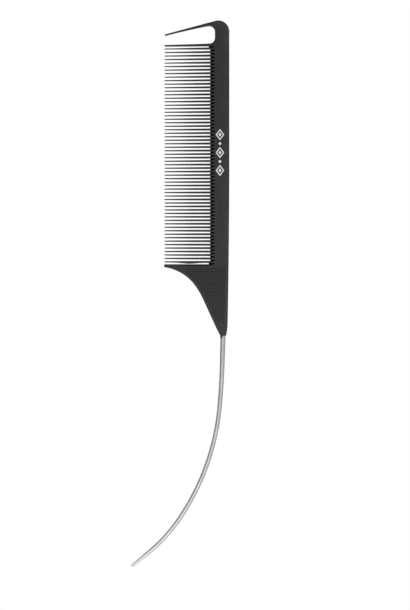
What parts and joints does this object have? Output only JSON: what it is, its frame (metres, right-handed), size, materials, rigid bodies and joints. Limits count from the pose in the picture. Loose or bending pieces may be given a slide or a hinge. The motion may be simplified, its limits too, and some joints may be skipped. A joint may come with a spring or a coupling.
{
  "type": "rat tail comb",
  "caption": "Flat fine-toothed sectioning comb with a slim parting hook at one end, a ribbed tapering handle and a long curved steel tail pin.",
  "frame": {"origin": "middle of the comb's outline, on the face that it rests on", "axes": "+Y along the length from the tail tip to the parting hook, +Z out of the printed face, teeth towards -X"},
  "size_m": [0.0416, 0.2322, 0.0036],
  "materials": {
    "carbon_plastic": "matte moulded, fine texture",
    "pin_steel": "satin, ground along its length",
    "white_print": "matte pad print"
  },
  "bodies": {
    "root": {"comb_body": "carbon_plastic", "fine_teeth": "carbon_plastic", "tail_pin": "pin_steel", "spine_mark": "white_print"}
  },
  "joints": []
}
